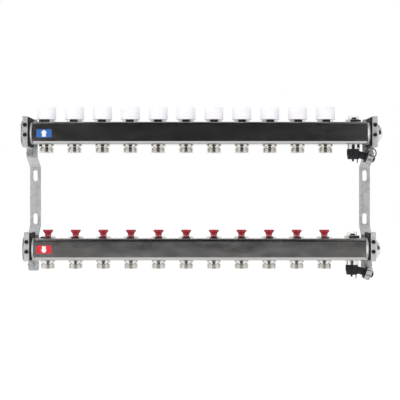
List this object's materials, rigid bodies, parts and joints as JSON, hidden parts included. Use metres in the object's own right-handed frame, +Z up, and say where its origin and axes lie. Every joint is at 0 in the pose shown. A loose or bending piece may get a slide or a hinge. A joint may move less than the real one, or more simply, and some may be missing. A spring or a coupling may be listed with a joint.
{
  "type": "underfloor heating manifold",
  "caption": "Two-bar heating manifold with hand caps, flow valves, threaded outlets, vents, drains and wall brackets.",
  "frame": {"origin": "middle of the left bracket's two wall slots, on the wall face", "axes": "+X to the right along the bars, +Y into the wall, +Z up"},
  "size_m": [0.645, 0.0867, 0.3126],
  "materials": {
    "stainless": "brushed along the bar",
    "galvanised": "galvanised",
    "zinc_steel": "bright zinc plated",
    "pin_steel": "turned",
    "nickel": "nickel plated brass",
    "brass": "turned",
    "rubber": "matt",
    "white_plastic": "satin",
    "red_plastic": "satin",
    "black_plastic": "satin",
    "blue_label": "printed",
    "red_label": "printed"
  },
  "bodies": {
    "manifold": {"upper_bar": "stainless", "lower_bar": "stainless", "left_bracket": "galvanised", "right_bracket": "galvanised", "clamp_upper_left": "galvanised", "clamp_upper_right": "galvanised", "clamp_lower_left": "galvanised", "clamp_lower_right": "galvanised", "clamp_liners": "rubber", "clamp_screws": "zinc_steel", "clamp_nuts": "zinc_steel", "return_inserts": "nickel", "supply_inserts": "nickel", "supply_spindles": "brass", "port_nipples": "nickel", "end_plugs": "nickel", "plug_seals": "rubber", "vent_bodies": "nickel", "drain_bodies": "nickel", "label_return": "blue_label", "label_supply": "red_label"},
    "return_stem_01": {"return_stem_01": "pin_steel"},
    "return_cap_01": {"return_cap_01": "white_plastic"},
    "supply_cap_01": {"supply_cap_01": "red_plastic"},
    "return_stem_02": {"return_stem_02": "pin_steel"},
    "return_cap_02": {"return_cap_02": "white_plastic"},
    "supply_cap_02": {"supply_cap_02": "red_plastic"},
    "return_stem_03": {"return_stem_03": "pin_steel"},
    "return_cap_03": {"return_cap_03": "white_plastic"},
    "supply_cap_03": {"supply_cap_03": "red_plastic"},
    "return_stem_04": {"return_stem_04": "pin_steel"},
    "return_cap_04": {"return_cap_04": "white_plastic"},
    "supply_cap_04": {"supply_cap_04": "red_plastic"},
    "return_stem_05": {"return_stem_05": "pin_steel"},
    "return_cap_05": {"return_cap_05": "white_plastic"},
    "supply_cap_05": {"supply_cap_05": "red_plastic"},
    "return_stem_06": {"return_stem_06": "pin_steel"},
    "return_cap_06": {"return_cap_06": "white_plastic"},
    "supply_cap_06": {"supply_cap_06": "red_plastic"},
    "return_stem_07": {"return_stem_07": "pin_steel"},
    "return_cap_07": {"return_cap_07": "white_plastic"},
    "supply_cap_07": {"supply_cap_07": "red_plastic"},
    "return_stem_08": {"return_stem_08": "pin_steel"},
    "return_cap_08": {"return_cap_08": "white_plastic"},
    "supply_cap_08": {"supply_cap_08": "red_plastic"},
    "return_stem_09": {"return_stem_09": "pin_steel"},
    "return_cap_09": {"return_cap_09": "white_plastic"},
    "supply_cap_09": {"supply_cap_09": "red_plastic"},
    "return_stem_10": {"return_stem_10": "pin_steel"},
    "return_cap_10": {"return_cap_10": "white_plastic"},
    "supply_cap_10": {"supply_cap_10": "red_plastic"},
    "return_stem_11": {"return_stem_11": "pin_steel"},
    "return_cap_11": {"return_cap_11": "white_plastic"},
    "supply_cap_11": {"supply_cap_11": "red_plastic"},
    "vent_knob_upper": {"vent_knob_upper": "white_plastic"},
    "drain_hub_upper": {"drain_hub_upper": "black_plastic"},
    "drain_cap_upper": {"drain_cap_upper": "nickel"},
    "vent_knob_lower": {"vent_knob_lower": "white_plastic"},
    "drain_hub_lower": {"drain_hub_lower": "black_plastic"},
    "drain_cap_lower": {"drain_cap_lower": "nickel"}
  },
  "joints": [
    {"name": "return_stem_01_lift", "type": "slide", "parent": "manifold", "child": "return_stem_01", "axis": [0, 0, 1], "range_m": [-0.003, 0]},
    {"name": "return_cap_01_turn", "type": "hinge", "parent": "return_stem_01", "child": "return_cap_01", "pos_m": [0.0305, -0.061, 0.144], "axis": [0, 0, 1], "range_deg": [-720, 0]},
    {"name": "supply_cap_01_turn", "type": "hinge", "parent": "manifold", "child": "supply_cap_01", "pos_m": [0.0305, -0.046, -0.066], "axis": [0, 0, 1], "range_deg": [-720, 720]},
    {"name": "return_stem_02_lift", "type": "slide", "parent": "manifold", "child": "return_stem_02", "axis": [0, 0, 1], "range_m": [-0.003, 0]},
    {"name": "return_cap_02_turn", "type": "hinge", "parent": "return_stem_02", "child": "return_cap_02", "pos_m": [0.0805, -0.061, 0.144], "axis": [0, 0, 1], "range_deg": [-720, 0]},
    {"name": "supply_cap_02_turn", "type": "hinge", "parent": "manifold", "child": "supply_cap_02", "pos_m": [0.0805, -0.046, -0.066], "axis": [0, 0, 1], "range_deg": [-720, 720]},
    {"name": "return_stem_03_lift", "type": "slide", "parent": "manifold", "child": "return_stem_03", "axis": [0, 0, 1], "range_m": [-0.003, 0]},
    {"name": "return_cap_03_turn", "type": "hinge", "parent": "return_stem_03", "child": "return_cap_03", "pos_m": [0.1305, -0.061, 0.144], "axis": [0, 0, 1], "range_deg": [-720, 0]},
    {"name": "supply_cap_03_turn", "type": "hinge", "parent": "manifold", "child": "supply_cap_03", "pos_m": [0.1305, -0.046, -0.066], "axis": [0, 0, 1], "range_deg": [-720, 720]},
    {"name": "return_stem_04_lift", "type": "slide", "parent": "manifold", "child": "return_stem_04", "axis": [0, 0, 1], "range_m": [-0.003, 0]},
    {"name": "return_cap_04_turn", "type": "hinge", "parent": "return_stem_04", "child": "return_cap_04", "pos_m": [0.1805, -0.061, 0.144], "axis": [0, 0, 1], "range_deg": [-720, 0]},
    {"name": "supply_cap_04_turn", "type": "hinge", "parent": "manifold", "child": "supply_cap_04", "pos_m": [0.1805, -0.046, -0.066], "axis": [0, 0, 1], "range_deg": [-720, 720]},
    {"name": "return_stem_05_lift", "type": "slide", "parent": "manifold", "child": "return_stem_05", "axis": [0, 0, 1], "range_m": [-0.003, 0]},
    {"name": "return_cap_05_turn", "type": "hinge", "parent": "return_stem_05", "child": "return_cap_05", "pos_m": [0.2305, -0.061, 0.144], "axis": [0, 0, 1], "range_deg": [-720, 0]},
    {"name": "supply_cap_05_turn", "type": "hinge", "parent": "manifold", "child": "supply_cap_05", "pos_m": [0.2305, -0.046, -0.066], "axis": [0, 0, 1], "range_deg": [-720, 720]},
    {"name": "return_stem_06_lift", "type": "slide", "parent": "manifold", "child": "return_stem_06", "axis": [0, 0, 1], "range_m": [-0.003, 0]},
    {"name": "return_cap_06_turn", "type": "hinge", "parent": "return_stem_06", "child": "return_cap_06", "pos_m": [0.2805, -0.061, 0.144], "axis": [0, 0, 1], "range_deg": [-720, 0]},
    {"name": "supply_cap_06_turn", "type": "hinge", "parent": "manifold", "child": "supply_cap_06", "pos_m": [0.2805, -0.046, -0.066], "axis": [0, 0, 1], "range_deg": [-720, 720]},
    {"name": "return_stem_07_lift", "type": "slide", "parent": "manifold", "child": "return_stem_07", "axis": [0, 0, 1], "range_m": [-0.003, 0]},
    {"name": "return_cap_07_turn", "type": "hinge", "parent": "return_stem_07", "child": "return_cap_07", "pos_m": [0.3305, -0.061, 0.144], "axis": [0, 0, 1], "range_deg": [-720, 0]},
    {"name": "supply_cap_07_turn", "type": "hinge", "parent": "manifold", "child": "supply_cap_07", "pos_m": [0.3305, -0.046, -0.066], "axis": [0, 0, 1], "range_deg": [-720, 720]},
    {"name": "return_stem_08_lift", "type": "slide", "parent": "manifold", "child": "return_stem_08", "axis": [0, 0, 1], "range_m": [-0.003, 0]},
    {"name": "return_cap_08_turn", "type": "hinge", "parent": "return_stem_08", "child": "return_cap_08", "pos_m": [0.3805, -0.061, 0.144], "axis": [0, 0, 1], "range_deg": [-720, 0]},
    {"name": "supply_cap_08_turn", "type": "hinge", "parent": "manifold", "child": "supply_cap_08", "pos_m": [0.3805, -0.046, -0.066], "axis": [0, 0, 1], "range_deg": [-720, 720]},
    {"name": "return_stem_09_lift", "type": "slide", "parent": "manifold", "child": "return_stem_09", "axis": [0, 0, 1], "range_m": [-0.003, 0]},
    {"name": "return_cap_09_turn", "type": "hinge", "parent": "return_stem_09", "child": "return_cap_09", "pos_m": [0.4305, -0.061, 0.144], "axis": [0, 0, 1], "range_deg": [-720, 0]},
    {"name": "supply_cap_09_turn", "type": "hinge", "parent": "manifold", "child": "supply_cap_09", "pos_m": [0.4305, -0.046, -0.066], "axis": [0, 0, 1], "range_deg": [-720, 720]},
    {"name": "return_stem_10_lift", "type": "slide", "parent": "manifold", "child": "return_stem_10", "axis": [0, 0, 1], "range_m": [-0.003, 0]},
    {"name": "return_cap_10_turn", "type": "hinge", "parent": "return_stem_10", "child": "return_cap_10", "pos_m": [0.4805, -0.061, 0.144], "axis": [0, 0, 1], "range_deg": [-720, 0]},
    {"name": "supply_cap_10_turn", "type": "hinge", "parent": "manifold", "child": "supply_cap_10", "pos_m": [0.4805, -0.046, -0.066], "axis": [0, 0, 1], "range_deg": [-720, 720]},
    {"name": "return_stem_11_lift", "type": "slide", "parent": "manifold", "child": "return_stem_11", "axis": [0, 0, 1], "range_m": [-0.003, 0]},
    {"name": "return_cap_11_turn", "type": "hinge", "parent": "return_stem_11", "child": "return_cap_11", "pos_m": [0.5305, -0.061, 0.144], "axis": [0, 0, 1], "range_deg": [-720, 0]},
    {"name": "supply_cap_11_turn", "type": "hinge", "parent": "manifold", "child": "supply_cap_11", "pos_m": [0.5305, -0.046, -0.066], "axis": [0, 0, 1], "range_deg": [-720, 720]},
    {"name": "vent_knob_upper_turn", "type": "hinge", "parent": "manifold", "child": "vent_knob_upper", "pos_m": [0.5805, -0.061, 0.14], "axis": [0, 0, 1], "range_deg": [-360, 0]},
    {"name": "drain_hub_upper_swivel", "type": "hinge", "parent": "manifold", "child": "drain_hub_upper", "pos_m": [0.5805, -0.061, 0.0796], "axis": [0, 0, 1], "range_deg": [-135, 0]},
    {"name": "drain_cap_upper_turn", "type": "hinge", "parent": "drain_hub_upper", "child": "drain_cap_upper", "pos_m": [0.60903, -0.061, 0.07033], "axis": [0.9511, 0, -0.309], "range_deg": [-720, 0]},
    {"name": "vent_knob_lower_turn", "type": "hinge", "parent": "manifold", "child": "vent_knob_lower", "pos_m": [0.5805, -0.046, -0.068], "axis": [0, 0, 1], "range_deg": [-360, 0]},
    {"name": "drain_hub_lower_swivel", "type": "hinge", "parent": "manifold", "child": "drain_hub_lower", "pos_m": [0.5805, -0.046, -0.1284], "axis": [0, 0, 1], "range_deg": [-135, 0]},
    {"name": "drain_cap_lower_turn", "type": "hinge", "parent": "drain_hub_lower", "child": "drain_cap_lower", "pos_m": [0.60903, -0.046, -0.13767], "axis": [0.9511, 0, -0.309], "range_deg": [-720, 0]}
  ],
  "couplings": [
    {"joint": "return_cap_01_turn", "follows": "return_stem_01_lift", "rad_per_m": 4188.8},
    {"joint": "return_cap_02_turn", "follows": "return_stem_02_lift", "rad_per_m": 4188.8},
    {"joint": "return_cap_03_turn", "follows": "return_stem_03_lift", "rad_per_m": 4188.8},
    {"joint": "return_cap_04_turn", "follows": "return_stem_04_lift", "rad_per_m": 4188.8},
    {"joint": "return_cap_05_turn", "follows": "return_stem_05_lift", "rad_per_m": 4188.8},
    {"joint": "return_cap_06_turn", "follows": "return_stem_06_lift", "rad_per_m": 4188.8},
    {"joint": "return_cap_07_turn", "follows": "return_stem_07_lift", "rad_per_m": 4188.8},
    {"joint": "return_cap_08_turn", "follows": "return_stem_08_lift", "rad_per_m": 4188.8},
    {"joint": "return_cap_09_turn", "follows": "return_stem_09_lift", "rad_per_m": 4188.8},
    {"joint": "return_cap_10_turn", "follows": "return_stem_10_lift", "rad_per_m": 4188.8},
    {"joint": "return_cap_11_turn", "follows": "return_stem_11_lift", "rad_per_m": 4188.8}
  ]
}
